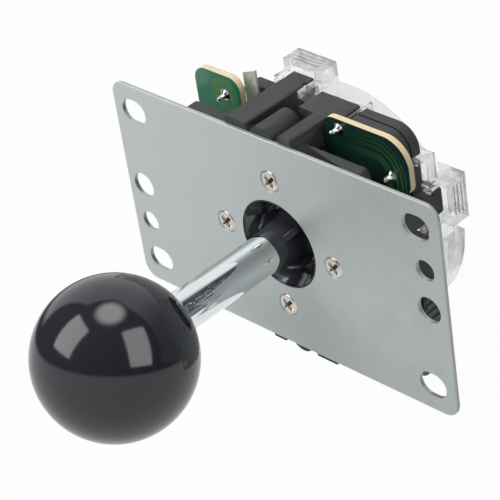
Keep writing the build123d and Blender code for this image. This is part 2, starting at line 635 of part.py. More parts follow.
def corner_wall():
    """The grooved wall that turns the north-east corner, and the floor that carries it."""
    outer = Pos(0, 0, CORNER_END_Z) * RectangleRounded(2 * CORNER_X, 2 * CORNER_Y, CORNER_R)
    inner = Pos(0, 0, CORNER_END_Z) * RectangleRounded(
        2 * (CORNER_X - CORNER_WALL), 2 * (CORNER_Y - CORNER_WALL), CORNER_R - CORNER_WALL)
    height = BOARD_LOW_Z - CORNER_END_Z
    wall = extrude(outer, height) - extrude(inner, height)
    wall += extrude(outer, SWITCH_LOW_Z - CORNER_END_Z)
    for z in CORNER_GROOVE_Z:
        ring = RectangleRounded(2 * CORNER_X, 2 * CORNER_Y, CORNER_R)
        core = RectangleRounded(2 * (CORNER_X - CORNER_GROOVE), 2 * (CORNER_Y - CORNER_GROOVE),
                                CORNER_R - CORNER_GROOVE)
        wall -= Pos(0, 0, z) * extrude(ring - core, CORNER_GROOVE_WIDTH)
    reach = 2 * CORNER_Y
    keep = block((-reach, -CORNER_START_X), (CORNER_START_Y, reach), (2 * CRADLE_LOW_Z, 0))
    floor = block((-CRADLE_INNER, -CORNER_START_X), (CRADLE_INNER - 2, CORNER_Y - 2 * CORNER_WALL),
                  (CRADLE_LOW_Z, SWITCH_LOW_Z))
    return (wall & keep) + floor


def cradle_cuts():
    """Room in the cradle for the long rib and the contact terminal of one side."""
    tall = (BOARD_LOW_Z + 1, CRADLE_LOW_Z - 1)
    a0, a1 = LONG_RIB_ALONG
    cuts = block((a0 - FIT_GAP, a1 + FIT_GAP), (RIB_IN - FIT_GAP, 2 * RIB_OUT), tall)
    half = CONTACT_WIDTH / 2 + TERMINAL_GAP
    low = COMMON_TOP_Z - TERMINAL_THICK - 2 * TERMINAL_GAP
    cuts += block((CONTACT_ALONG - half, CONTACT_ALONG + half), (SWITCH_BACK, 2 * RIB_OUT),
                  (BOARD_LOW_Z + 1, low))
    return cuts


def gate_clip():
    """One clip of the gate, drawn on the north side: floor, legs with feet, grooved bar."""
    a0, a1 = CLIP_ALONG
    near = (a0, a0 + CLIP_LEG_NEAR)
    far = (a1 - CLIP_LEG_FAR, a1)
    clip = block((a0, a1), (GATE_R - GATE_WALL, CLIP_OUT), (GATE_END_Z, GATE_FLOOR_Z))
    clip -= block((near[1], far[0]), (RIB_OUT - 1.5, CLIP_OUT - CLIP_BAR_THICK),
                  (GATE_END_Z - 1, GATE_FLOOR_Z + 1))
    bar_top = CLIP_TOP_Z - 0.6
    clip += block((a0, a1), (CLIP_OUT - CLIP_BAR_THICK, CLIP_OUT), (GATE_END_Z, bar_top))
    pitch = (bar_top - GATE_END_Z) / (CLIP_BAR_RIBS + 1)
    for n in range(CLIP_BAR_RIBS):
        z = GATE_END_Z + pitch * (n + 1)
        clip -= block((near[1], far[0]), (CLIP_OUT - 0.5, CLIP_OUT + 1), (z - 0.3, z + 0.3))
    for leg, foot_top, catch in ((near, FOOT_TOP_Z[0], near[1]), (far, FOOT_TOP_Z[1], far[0])):
        clip += block(leg, (FOOT_OUT[0], CLIP_OUT), (GATE_END_Z, CLIP_TOP_Z))
        clip += block(leg, FOOT_OUT, (CLIP_TOP_Z, foot_top))
        rib_side = LONG_RIB_ALONG[0] if leg is near else LONG_RIB_ALONG[1]
        sign = 1 if leg is near else -1
        clip += block((catch, rib_side + sign * CATCH_DEPTH / 2), (FOOT_OUT[0] + 0.3, FOOT_OUT[1] - 0.3),
                      (CATCH_Z[0] + 0.2, CATCH_Z[1] - 0.2))
    return clip


def gate_frame():
    """Clear moulded frame: ring and floor for the dial, four clips, fins and two rim walls."""
    frame = disc(GATE_R, GATE_END_Z, CRADLE_LOW_Z) - disc(GATE_R - GATE_WALL, GATE_FLOOR_Z, CRADLE_LOW_Z)
    rim = disc(RIM_R, GATE_END_Z, RIM_TOP_Z) - disc(RIM_R - RIM_WALL, GATE_FLOOR_Z, RIM_TOP_Z)
    wedge = Pos(0, 0, GATE_END_Z) * extrude(sector(*RIM_ARC_DEG, 2 * RIM_R), RIM_TOP_Z - GATE_END_Z)
    rim = (rim - disc(GATE_R - GATE_WALL / 2, GATE_END_Z, RIM_TOP_Z)) & wedge
    frame += rim
    frame += rim.rotate(Axis.Z, 180.0)
    half = FIN_THICK / 2
    for side in range(4):
        frame += turned(gate_clip(), side)
        room = block((LONG_RIB_ALONG[0] - FIT_GAP, LONG_RIB_ALONG[1] + FIT_GAP),
                     (RIB_IN - FIT_GAP, FOOT_OUT[0]), (LONG_RIB_END_Z - FIT_GAP, 0))
        frame -= turned(room, side)
        if side in (NORTH, SOUTH):
            fin = (NORTH_FIN_ALONG - half, NORTH_FIN_ALONG + half)
            frame += turned(block(fin, (CRADLE_INNER + FIT_GAP, NORTH_FIN_OUT),
                                  (NORTH_FIN_TOP_Z, CRADLE_LOW_Z - 1.0)), side)
        else:
            fin = (EAST_FIN_ALONG - half, EAST_FIN_ALONG + half)
            frame += turned(block(fin, (CRADLE_INNER + 1.0, EAST_ARM_OUT[1]),
                                  (EAST_FIN_TOP_Z, EAST_ARM_Z[0])), side)
            frame += turned(block((CLIP_ALONG[1] - 1.0, fin[1]), EAST_ARM_OUT, EAST_ARM_Z), side)
            frame += turned(block((CLIP_ALONG[1] - 1.0, CLIP_ALONG[1]), EAST_ARM_OUT,
                                  (EAST_ARM_Z[0], CLIP_TOP_Z - 1.0)), side)
        bump = Pos(0, DIAL_R - LATCH_REACH / 2 + 0.4, DIAL_TOP_Z + FIT_GAP + LATCH_THICK / 2) * Box(
            LATCH_WIDTH, LATCH_REACH + 0.8, LATCH_THICK)
        frame += bump.rotate(Axis.Z, 45.0 + 90.0 * side)
    frame -= disc(GATE_HOLE_R, GATE_END_Z - 1, GATE_FLOOR_Z + 1)
    return frame


def sector(start, end, radius):
    """A pie slice between two angles, as a flat face."""
    steps = [start + (end - start) * n / 4 for n in range(5)]
    points = [(0, 0)] + [(radius * math.cos(math.radians(a)), radius * math.sin(math.radians(a)))
                         for a in steps]
    return make_face(Polyline(*points, close=True))


def gate_plate():
    """Dial disc with the square opening that limits the lever, a lip and rim notches."""
    plate = disc(DIAL_R, GATE_FLOOR_Z, DIAL_TOP_Z)
    size = DIAL_OPENING + 2 * DIAL_LIP
    lip = RectangleRounded(size, size, 2.5)
    opening = RectangleRounded(DIAL_OPENING, DIAL_OPENING, 1.2)
    plate += Pos(0, 0, DIAL_TOP_Z) * extrude(lip, DIAL_LIP_HEIGHT)
    plate -= Pos(0, 0, GATE_FLOOR_Z - 1) * extrude(opening, DIAL_THICK + DIAL_LIP_HEIGHT + 2)
    for n in range(DIAL_NOTCHES):
        notch = disc(DIAL_NOTCH_R, GATE_FLOOR_Z - 1, DIAL_TOP_Z + 1, DIAL_R, 0)
        plate -= notch.rotate(Axis.Z, 360.0 * n / DIAL_NOTCHES)
    return plate


def header_pin_out():
    """Distance of the header's pins from the shaft axis, outwards on the south side."""
    return HEADER_IN + HEADER_WALL + 0.7


def header_pin_along(n):
    """Place of one header pin along the south side."""
    return HEADER_START - HEADER_END - n * HEADER_PITCH


def connector_header():
    """White box header under the board, open outwards, with a latch slot in its floor."""
    length = 2 * HEADER_END + (HEADER_PINS - 1) * HEADER_PITCH
    along = (HEADER_START - length, HEADER_START)
    z = (BOARD_LOW_Z - HEADER_HEIGHT, BOARD_LOW_Z)
    box = block(along, (HEADER_IN, HEADER_OUT), z)
    box -= block((along[0] + HEADER_WALL, along[1] - HEADER_WALL),
                 (HEADER_IN + 3 * HEADER_WALL, HEADER_OUT + 1), (z[0] + HEADER_WALL, z[1] - HEADER_WALL))
    middle, half = sum(along) / 2, HEADER_SLOT_WIDTH / 2
    box -= block((middle - half, middle + half), (HEADER_OUT - HEADER_SLOT_DEPTH, HEADER_OUT + 1),
                 (z[0] - 1, z[0] + HEADER_WALL + 0.1))
    for n in range(HEADER_PINS):
        box -= header_pin(n, HEADER_PIN / 2 + 0.02, NORTH)
    return turned(box, SOUTH)


def header_pin(n, half, side=SOUTH):
    """One square pin: level in the header, then up through the board."""
    along, out = header_pin_along(n), header_pin_out()
    z = BOARD_LOW_Z - HEADER_HEIGHT / 2
    pin = block((along - half, along + half), (out - half, HEADER_OUT - 1.5), (z - half, z + half))
    pin += block((along - half, along + half), (out - half, out + half),
                 (z - half, BOARD_Z + HEADER_PIN_RISE))
    return turned(pin, side)


def parts():
    """Every node by name."""
    made = {
        "mounting_plate": mounting_plate(),
        "plate_screws": plate_screws(),
        "housing": housing(),
        "circuit_board": circuit_board(),
        "switch_cradle": switch_cradle(),
        "gate_frame": gate_frame(),
        "gate_plate": gate_plate(),
        "connector_header": connector_header(),
        "pivot_liner": pivot_liner(),
        "pivot_ball": pivot_ball(),
        "actuator": actuator(),
        "spring_retainer": spring_retainer(),
        "centering_spring": centering_spring(),
        "shaft": shaft(),
        "ball_top": ball_top(),
        "clip_washer": clip_washer(),
        "retaining_clip": retaining_clip(),
    }
    for n in range(HEADER_PINS):
        made["connector_pin_%d" % (n + 1)] = header_pin(n, HEADER_PIN / 2)
    for side, name in enumerate(SIDE_NAMES):
        made["switch_" + name] = switch_case(side)
        made["plunger_" + name] = plunger(side)
        made["common_terminal_" + name] = common_terminal(side)
        made["contact_terminal_" + name] = contact_terminal(side)
    return made


os.makedirs("parts", exist_ok=True)
for node, shape in parts().items():
    export_step(shape, "parts/" + node + ".step")
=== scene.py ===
import math

import bmesh
import bpy
from mathutils import Matrix, Vector


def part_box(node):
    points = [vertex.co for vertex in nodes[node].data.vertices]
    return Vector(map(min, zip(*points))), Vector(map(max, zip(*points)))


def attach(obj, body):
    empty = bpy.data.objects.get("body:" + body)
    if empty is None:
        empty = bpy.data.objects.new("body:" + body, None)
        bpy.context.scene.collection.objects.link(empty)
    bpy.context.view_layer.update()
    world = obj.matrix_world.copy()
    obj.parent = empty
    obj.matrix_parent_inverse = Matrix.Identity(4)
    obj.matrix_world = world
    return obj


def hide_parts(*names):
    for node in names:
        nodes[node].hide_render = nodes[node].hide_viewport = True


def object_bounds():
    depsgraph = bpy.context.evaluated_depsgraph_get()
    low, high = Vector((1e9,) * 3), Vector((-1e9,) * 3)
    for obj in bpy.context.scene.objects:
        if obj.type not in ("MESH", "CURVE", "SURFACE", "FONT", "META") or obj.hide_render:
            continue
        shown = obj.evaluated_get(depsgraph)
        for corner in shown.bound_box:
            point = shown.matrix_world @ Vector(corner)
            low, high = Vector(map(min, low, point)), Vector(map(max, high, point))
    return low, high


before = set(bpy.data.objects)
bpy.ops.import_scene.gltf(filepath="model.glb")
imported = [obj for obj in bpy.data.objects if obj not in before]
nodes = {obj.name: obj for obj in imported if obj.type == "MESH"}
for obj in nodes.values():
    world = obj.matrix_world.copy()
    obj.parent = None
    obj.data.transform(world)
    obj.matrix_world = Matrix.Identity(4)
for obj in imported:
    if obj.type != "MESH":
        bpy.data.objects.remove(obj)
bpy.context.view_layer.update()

# The photographer's table: a camera with a long lens looking down past the ball, and a
# white sweep that the lever stands on. The lever rests on the flat underside of its gate.
right = Vector((0.70758, -0.13291, -0.69402))
up = Vector((-0.31583, 0.81911, -0.47887))
away = Vector((-0.63212, -0.55803, -0.53761))
eye = Vector((0.307804, 0.27508, 0.270064))
camera_data = bpy.data.cameras.new("camera")
camera_data.lens = 165.93
camera_data.sensor_width = 36.0
camera_data.clip_start = 0.01
camera = bpy.data.objects.new("camera", camera_data)
facing = Matrix((right, up, -away)).transposed().to_4x4()
camera.matrix_world = Matrix.Translation(eye) @ facing
bpy.context.scene.collection.objects.link(camera)
bpy.context.scene.camera = camera
bpy.context.scene.view_settings.view_transform = "Standard"


class Value:
    """One output of a node, written in sums as if it were a number."""

    def __init__(self, owner, socket):
        self.owner = owner
        self.socket = socket

    def __add__(self, other):
        return self.owner.sum("ADD", self, other)

    def __sub__(self, other):
        return self.owner.sum("SUBTRACT", self, other)

    def __mul__(self, other):
        return self.owner.sum("MULTIPLY", self, other)

    def __truediv__(self, other):
        return self.owner.sum("DIVIDE", self, other)

    def __rsub__(self, other):
        return self.owner.sum("SUBTRACT", other, self)

    def __rtruediv__(self, other):
        return self.owner.sum("DIVIDE", other, self)

    def __pow__(self, other):
        return self.owner.sum("POWER", self, other)

    __radd__ = __add__
    __rmul__ = __mul__

    def size(self):
        return self.owner.sum("ABSOLUTE", self)

    def least(self, other):
        return self.owner.sum("MINIMUM", self, other)

    def most(self, other):
        return self.owner.sum("MAXIMUM", self, other)

    def past(self, edge, width):
        """0 below edge, 1 above edge + width, smooth between."""
        return self.owner.node(
            "ShaderNodeMapRange",
            {"interpolation_type": "SMOOTHSTEP"},
            {"Value": self, "From Min": edge, "From Max": edge + width},
        )


class Shading:
    """A node tree and short ways to add to it."""

    def __init__(self, tree):
        self.tree = tree

    def node(self, kind, settings, sockets, output=0):
        """A new node with its settings and inputs; its output comes back as a value."""
        made = self.tree.nodes.new(kind)
        for key, value in settings.items():
            setattr(made, key, value)
        for key, value in sockets.items():
            if isinstance(value, Value):
                self.tree.links.new(value.socket, made.inputs[key])
            else:
                made.inputs[key].default_value = value
        return Value(self, made.outputs[output])

    def sum(self, operation, *parts):
        """One step of arithmetic on values or numbers."""
        return self.node("ShaderNodeMath", {"operation": operation}, dict(enumerate(parts)))

    def dot(self, one, other):
        """The dot product of two vectors."""
        return self.node(
            "ShaderNodeVectorMath", {"operation": "DOT_PRODUCT"}, {0: one, 1: other}, "Value"
        )

    def rays(self):
        """1 for the rays that the camera sees, that a gloss mirrors and that go through."""
        made = self.tree.nodes.new("ShaderNodeLightPath")
        kinds = ("Is Camera Ray", "Is Glossy Ray", "Is Transmission Ray")
        return [Value(self, made.outputs[kind]) for kind in kinds]


class Finish(Shading):
    """A procedural surface in the making, fed into one principled shader."""

    def __init__(self, name, **constants):
        self.material = bpy.data.materials.new(name)
        self.material.use_nodes = True
        super().__init__(self.material.node_tree)
        self.shader = self.tree.nodes["Principled BSDF"]
        for socket, value in constants.items():
            self.shader.inputs[socket.replace("_", " ")].default_value = value

    def place(self):
        """Object coordinates in millimetres, as three values."""
        coordinates = self.node("ShaderNodeTexCoord", {}, {}, "Object")
        millimetres = self.node(
            "ShaderNodeVectorMath", {"operation": "SCALE"}, {0: coordinates, "Scale": 1000.0}
        )
        split = self.tree.nodes.new("ShaderNodeSeparateXYZ")
        self.tree.links.new(millimetres.socket, split.inputs[0])
        self.point = millimetres
        return [Value(self, split.outputs[n]) for n in range(3)]

    def grain(self, scale, detail=2.0, stretch=(1.0, 1.0, 1.0)):
        """Soft noise between 0 and 1, with scale features per millimetre."""
        stretched = self.node(
            "ShaderNodeVectorMath", {"operation": "MULTIPLY"}, {0: self.point, 1: stretch}
        )
        return self.node(
            "ShaderNodeTexNoise", {}, {"Vector": stretched, "Scale": scale, "Detail": detail}
        )

    def colour(self, mask, low, high):
        """A colour between low and high; either may be a colour or another mix."""
        ends = {0: mask, 6: self.rgba(low), 7: self.rgba(high)}
        return self.node("ShaderNodeMix", {"data_type": "RGBA"}, ends, 2)

    def rgba(self, value):
        """A plain colour made opaque; a mix stays as it is."""
        return value if isinstance(value, Value) else (*value, 1.0)

    def feed(self, socket, value):
        """Lead a value, or a constant, into the shader."""
        if isinstance(value, Value):
            self.tree.links.new(value.socket, self.shader.inputs[socket])
        else:
            self.shader.inputs[socket].default_value = value

    def relief(self, height, depth_mm, strength=1.0):
        """Bump from a height between 0 and 1."""
        sockets = {"Strength": strength, "Distance": depth_mm / 1000.0, "Height": height}
        self.feed("Normal", self.node("ShaderNodeBump", {}, sockets))

    def on(self, *names):
        """Give the finish to those CAD nodes."""
        for name in names:
            nodes[name].data.materials.clear()
            nodes[name].data.materials.append(self.material)


# Mounting plate: 1 mm sheet steel, pressed out in one blow and plated dull grey.
# The press leaves a burnished lip on its cut edges; the plating has a faint mottled grain.
plate_finish = Finish("plated_sheet_steel", Metallic=0.55, Specular_IOR_Level=0.5)
x, y, z = plate_finish.place()
mottle = plate_finish.grain(0.12, 3.0)
fine = plate_finish.grain(6.0, 2.0)
rolled = plate_finish.grain(1.0, 2.0, (0.05, 4.0, 1.0))
# Painted light: the plate's colour is painted lighter towards the -x, +y corner and darker towards
# the +x, -y corner, and darker again near the low edge as painted shade.
lean = (x * 0.0052 - y * 0.0036 + 0.5).past(0.0, 1.0)
tone = plate_finish.colour(lean, (0.560, 0.600, 0.595), (0.425, 0.480, 0.472))
tone = plate_finish.colour(mottle.past(0.35, 0.3) * 0.18, tone, (0.62, 0.64, 0.63))
from_low = y + 22.0
shade = 1.0 - ((x * x * 0.0009 + from_low * from_low * 0.004) ** 0.5).past(0.0, 1.0)
tone = plate_finish.colour(shade * 0.45, tone, (0.27, 0.31, 0.305))
sheet_middle = -0.5
edge = 1.0 - (z - sheet_middle).size().past(0.30, 0.16)
tone = plate_finish.colour(edge * 0.55, tone, (0.30, 0.29, 0.29))
plate_finish.feed("Base Color", tone)
plate_finish.feed("Roughness", 0.40 + fine * 0.10 + mottle * 0.06 - edge * 0.08)
plate_finish.relief(fine * 0.6 + rolled * 0.4, 0.004, 0.35)
plate_finish.on("mounting_plate")

# Four countersunk machine screws, nickel plated, with raised oval heads. The cross
# recess is punched with sloping walls and is painted dark brown towards its floor, as painted
# shade.
screw_finish = Finish("nickel_plated_screw", Metallic=1.0)
x, y, z = screw_finish.place()
wipe = screw_finish.grain(2.5, 2.0)
recess_floor = -0.66
# Painted shade: darker brown towards the floor of the cross recess.
recess_shade = 1.0 - z.past(recess_floor, 0.30)
tone = screw_finish.colour(wipe, (0.72, 0.69, 0.63), (0.56, 0.53, 0.48))
screw_finish.feed("Base Color", screw_finish.colour(recess_shade, tone, (0.10, 0.065, 0.04)))
screw_finish.feed("Roughness", 0.20 + wipe * 0.14 + recess_shade * 0.35)
screw_circle = 0.016
head_radius = 0.00245
head_rise = 0.000378
head_rings = 26
rim_depth = 0.00022
under_head = -0.00105
thread_radius = 0.0014
screw_tip = -0.008
cross_half = 0.00034
cross_reach = 0.00175
cross_depth = 0.00080
cross_lip = 0.00012
cross_wall = 0.00018
cross_taper = 0.0007
same_spot = 1e-6


def turn_profile(shape, profile, steps, centre=(0.0, 0.0)):
    """Spin points given as radius and height once round the upright axis at centre."""
    row = [shape.verts.new((centre[0] + out, centre[1], height)) for out, height in profile]
    lines = [shape.edges.new(pair) for pair in zip(row, row[1:])]
    bmesh.ops.spin(
        shape, geom=row + lines, cent=(centre[0], centre[1], 0), axis=(0, 0, 1),
        angle=2 * math.pi, steps=steps, use_merge=True
    )


def add_piece(shape, name, finish, smooth=True, sharp_degrees=None):
    """An object with that shape and finish; edges past sharp_degrees stay sharp."""
    mesh = bpy.data.meshes.new(name)
    shape.to_mesh(mesh)
    if smooth:
        mesh.shade_smooth()
    if sharp_degrees:
        mesh.set_sharp_from_angle(angle=math.radians(sharp_degrees))
    mesh.materials.append(finish.material)
    piece = bpy.data.objects.new(name, mesh)
    bpy.context.scene.collection.objects.link(piece)
    return piece


def screw_centre(turn):
    """The middle of the screw that many quarter turns round from +y."""
    angle = turn * math.pi / 2
    return Vector((screw_circle * math.sin(angle), screw_circle * math.cos(angle), 0))


screws = bmesh.new()
screw_profile = [(head_radius * n / head_rings, 0) for n in range(head_rings + 1)]
screw_profile += [
    (head_radius * 0.6, under_head + 0.0001), (thread_radius, under_head),
    (thread_radius, screw_tip + 0.0001), (0.0, screw_tip),
]
for turn in range(4):
    turn_profile(screws, screw_profile, 72, screw_centre(turn))
bmesh.ops.remove_doubles(screws, verts=screws.verts, dist=same_spot)
for vert in screws.verts:
    if vert.co.z < -0.0001:
        continue
    turn = round(math.atan2(vert.co.x, vert.co.y) / (math.pi / 2))
    local = vert.co - screw_centre(turn)
    share = min(local.length / head_radius, 1.0)
    dome = head_rise * (1 - share ** 2) ** 0.5
    one = abs(local.x + local.y) / math.sqrt(2)
    two = abs(local.x - local.y) / math.sqrt(2)
    slot = 0.0
    for across, length in ((one, two), (two, one)):
        wall = min(max((cross_half + cross_lip - across) / cross_wall, 0.0), 1.0)
        end = min(max((cross_reach - length) / cross_taper, 0.0), 1.0)
        slot = max(slot, wall * end)
    vert.co.z = dome - rim_depth - cross_depth * slot
bmesh.ops.recalc_face_normals(screws, faces=screws.faces)
oval_head_screws = add_piece(screws, "oval_head_screws", screw_finish, sharp_degrees=50)
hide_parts("plate_screws")
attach(oval_head_screws, "base")

# Housing: one black glass-filled moulding. Its flats are dull from the tool, while the
# collar and the dish that show through the plate are polished for the pivot, and tinted
# blue as a painted sheen. The crest of the collar is painted darkest, as painted shade.
body_finish = Finish("black_moulding", Specular_IOR_Level=0.26)
x, y, z = body_finish.place()
reach = (x * x + y * y) ** 0.5
dish_edge = 10.64
dish_floor = -8.5
crest_edge = 10.18
polish_and_blue_sheen = (1.0 - reach.past(dish_edge, 0.1)) * z.past(dish_floor, 0.8)
crest_shade = reach.past(crest_edge, 0.1)
spark = body_finish.grain(9.0, 2.0)
flow = body_finish.grain(0.25, 3.0)
dust = body_finish.grain(4.0, 1.0).past(0.70, 0.06)
tone = body_finish.colour(flow, (0.034, 0.035, 0.037), (0.046, 0.047, 0.050))
tone = body_finish.colour(dust * 0.35, tone, (0.20, 0.20, 0.20))
# Painted sheen: the polished dish is tinted blue.
tone = body_finish.colour(polish_and_blue_sheen, tone, (0.032, 0.035, 0.047))
# Painted shade: the crest of the collar is painted nearly black.
tone = body_finish.colour(polish_and_blue_sheen * crest_shade, tone, (0.004, 0.004, 0.005))
body_finish.feed("Base Color", tone)
dull = 0.40 + spark * 0.14 + flow * 0.06
body_finish.feed("Roughness", dull * (1.0 - polish_and_blue_sheen) + polish_and_blue_sheen * 0.14)
body_finish.feed("Coat Weight", polish_and_blue_sheen * (0.9 - crest_shade * 0.7))
body_finish.relief(spark * (1.0 - polish_and_blue_sheen), 0.012, 0.5)
body_finish.on("housing", "switch_cradle")
collar_radius = 0.0106
seat_radius = 0.0080
seat_z = -0.0046
moulding = bmesh.new()
moulding.from_mesh(nodes["housing"].data)
bmesh.ops.remove_doubles(moulding, verts=moulding.verts, dist=same_spot)
sharp_dish = []
for face in moulding.faces:
    middle = face.calc_center_median()
    within = seat_radius - 0.0001 < middle.xy.length < collar_radius - 0.00004
    if within and middle.z > seat_z + 0.00001:
        sharp_dish.append(face)
bmesh.ops.delete(moulding, geom=sharp_dish, context="FACES")
bowl = [
    (collar_radius, -0.00015), (0.01054, -0.00003), (0.01046, 0.0), (0.01038, -0.00003),
    (0.0103, -0.00016), (0.01012, -0.0005), (0.0098, -0.0011), (0.00938, -0.0018),
    (0.00892, -0.0025), (0.0085, -0.0032), (0.00818, -0.0039), (seat_radius, seat_z),
]
turn_profile(moulding, bowl, 120)
for face in moulding.faces:
    middle = face.calc_center_median()
    in_bowl = middle.z > seat_z and middle.xy.length < collar_radius
    if len(face.verts) == 4 and in_bowl and face.normal.z < 0:
        face.normal_flip()
moulded_housing = add_piece(moulding, "moulded_housing", body_finish, sharp_degrees=28)
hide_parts("housing")
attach(moulded_housing, "base")

# Pivot ball, with a stem that widens downwards and four fins, and the actuator below it.
# Both are black acetal, oiled, so they shine.
pivot_finish = Finish("oiled_black_acetal", Specular_IOR_Level=0.55)
x, y, z = pivot_finish.place()
smear = pivot_finish.grain(0.6, 3.0)
tone = pivot_finish.colour(smear, (0.020, 0.021, 0.025), (0.040, 0.042, 0.050))
pivot_finish.feed("Base Color", tone)
pivot_finish.feed("Roughness", 0.10 + smear * 0.22)
pivot_finish.relief(smear, 0.12, 0.8)
pivot_finish.on("pivot_ball", "actuator")
pivot_z = -0.0070
ball_of_pivot = 0.0065
stem = 0.00515
stem_top = 0.0042
bore = 0.00305
foot_radius = 0.0039
outline = [
    (bore, stem_top), (0.00445, stem_top), (0.00455, stem_top - 0.0001), (0.00465, 0.0030),
    (0.00485, 0.0018), (0.00505, 0.0004), (stem, -0.0010), (stem, -0.0024),
    (stem + 0.00006, -0.0028),
]
steps = 22
first = math.asin((stem + 0.00015) / ball_of_pivot)
last = math.pi - math.asin(foot_radius / ball_of_pivot)
for n in range(steps + 1):
    swing = first + (last - first) * n / steps
    height = pivot_z + ball_of_pivot * math.cos(swing)
    outline.append((ball_of_pivot * math.sin(swing), height))
outline += [(bore, outline[-1][1]), (bore, stem_top)]
hub = bmesh.new()
turn_profile(hub, outline, 96)
bmesh.ops.remove_doubles(hub, verts=hub.verts, dist=same_spot)
fin_thickness = 0.0014
fin_outline = (
    (0.0050, 0.0016), (0.0054, 0.0014), (0.0070, -0.0011), (0.00718, -0.0016),
    (0.0071, -0.0024), (0.0062, -0.0060), (0.0050, -0.0060),
)
for turn in range(4):
    corners = [hub.verts.new((out, -fin_thickness / 2, height)) for out, height in fin_outline]
    cheek = hub.faces.new(corners)
    grown = bmesh.ops.extrude_face_region(hub, geom=[cheek])["geom"]
    thick = [part for part in grown if isinstance(part, bmesh.types.BMVert)]
    bmesh.ops.translate(hub, verts=thick, vec=(0, fin_thickness, 0))
    place = Matrix.Rotation(math.pi / 4 + turn * math.pi / 2, 3, "Z")
    bmesh.ops.rotate(hub, verts=corners + thick, cent=(0, 0, 0), matrix=place)
bmesh.ops.recalc_face_normals(hub, faces=hub.faces)
ribbed_pivot = add_piece(hub, "ribbed_pivot", pivot_finish, sharp_degrees=35)
rounding = ribbed_pivot.modifiers.new("rounding", "BEVEL")
rounding.width = 0.0002
rounding.segments = 2
rounding.limit_method = "ANGLE"
rounding.angle_limit = math.radians(50)
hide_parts("pivot_ball")
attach(ribbed_pivot, "lever")

# Liner and spring retainer: natural acetal, cream white, slightly waxy.
# They are pressed and slipped in place and are hidden once the lever is together.
natural_finish = Finish("natural_acetal", Specular_IOR_Level=0.4, Subsurface_Weight=0.1)
x, y, z = natural_finish.place()
cloud = natural_finish.grain(0.5, 2.0)
tone = natural_finish.colour(cloud, (0.78, 0.76, 0.70), (0.70, 0.68, 0.61))
natural_finish.feed("Base Color", tone)
natural_finish.feed("Roughness", 0.35 + cloud * 0.15)
natural_finish.on("pivot_liner", "spring_retainer")

# Circuit board: glass laminate with green mask over broad copper tracks, which follow the
# outline and ring the joints. The routed edge shows the tan laminate.
board_finish = Finish("masked_laminate", Specular_IOR_Level=0.5, Coat_Roughness=0.12)
x, y, z = board_finish.place()
low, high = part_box("circuit_board")
board_face = high.z
half_x = high.x * 1000.0
half_y = high.y * 1000.0
edge = (z - (low.z + high.z) * 500.0).size().past(0.68, 0.06)
corner = 9.0
over_x = (x.size() - (half_x - corner)).most(0.0)
over_y = (y.size() - (half_y - corner)).most(0.0)
rim = corner - (over_x * over_x + over_y * over_y) ** 0.5


def track(distance, middle, width):
    """1 on a band of that width about a distance, with soft shoulders."""
    return 1.0 - (distance - middle).size().past(width / 2 - 0.08, 0.16)


tracks = board_finish.sum("ADD", 0.0, 0.0)
bands = ((1.2, 0.35, 1.0), (2.3, 0.7, 1.0), (3.5, 0.7, 1.0), (5.6, 1.8, 0.8))
for inwards, width, strength in bands:
    tracks = tracks.most(track(rim, inwards, width) * strength)
tracks = tracks * x.past(11.0, 15.0) * (1.0 - y.past(19.0, 9.0) * 0.6)
pads = board_finish.sum("ADD", 0.0, 0.0)
rings = board_finish.sum("ADD", 0.0, 0.0)
for joint_x, joint_y in ((-21.8, 25.1), (21.8, -25.1)):
    away_from = ((x - joint_x) ** 2.0 + (y - joint_y) ** 2.0) ** 0.5
    pads = pads.most((1.0 - away_from.past(3.6, 0.9)) * 0.75)
    rings = rings.most(track(away_from, 2.9, 0.35) * 0.4)
copper = tracks.most(pads) * (1.0 - rings)
warp = board_finish.grain(1.4, 2.0, (1.0, 5.0, 1.0))
weft = board_finish.grain(1.4, 2.0, (5.0, 1.0, 1.0))
# Painted light: the mask green is painted far brighter on the left tab than on the rest of the
# board, which is painted shade.
painted_light_left_tab = 1.0 - x.past(-20.0, 14.0)
mask_dark = board_finish.colour(painted_light_left_tab, (0.008, 0.030, 0.022), (0.006, 0.165, 0.082))
mask_light = board_finish.colour(painted_light_left_tab, (0.035, 0.125, 0.035), (0.060, 0.200, 0.045))
green = board_finish.colour(copper, mask_dark, mask_light)
green = board_finish.colour(warp * weft * 0.30, green, (0.02, 0.06, 0.045))
layers = board_finish.grain(3.0, 2.0, (1.0, 1.0, 6.0))
laminate = board_finish.colour(layers, (0.62, 0.49, 0.30), (0.80, 0.66, 0.44))
board_finish.feed("Base Color", board_finish.colour(edge, laminate, green))
board_finish.feed("Roughness", edge * 0.22 + (1.0 - edge) * 0.65)
board_finish.feed("Coat Weight", edge * 0.5)
board_finish.relief(copper * edge, 0.05, 0.6)
board_finish.on("circuit_board")

# Solder joints: the clipped and bent ends of the terminals and header pins, each in a
# small bright fillet that was drawn up the lead when it was soldered.
tin_finish = Finish("bright_tin", Metallic=1.0)
x, y, z = tin_finish.place()
froth = tin_finish.grain(3.0, 3.0)
tin_finish.feed("Base Color", tin_finish.colour(froth, (0.86, 0.86, 0.85), (0.70, 0.70, 0.69)))
tin_finish.feed("Roughness", 0.16 + froth * 0.16)
tin_finish.relief(froth, 0.05, 0.4)
solder = bmesh.new()


def add_joint(centre, radius, height, bend, reach):
    """A fillet on the board at centre, and a lead tip that leans by reach towards bend."""
    shares = ((1.0, 0.0), (0.62, 0.18), (0.40, 0.5), (0.30, 1.0))
    profile = [(radius * out, board_face + height * rise) for out, rise in shares]
    turn_profile(solder, profile, 20, centre)
    lead = height * 1.3
    tip = bmesh.ops.create_cone(
        solder, cap_ends=True, segments=12, radius1=radius * 0.40, radius2=radius * 0.26,
        depth=lead
    )["verts"]
    lean = Vector((math.cos(bend), math.sin(bend), 0)) * reach
    foot = Vector((centre[0], centre[1], board_face + height * 0.75))
    for vert in tip:
        share = vert.co.z / lead + 0.5
        vert.co += foot + lean * share * share


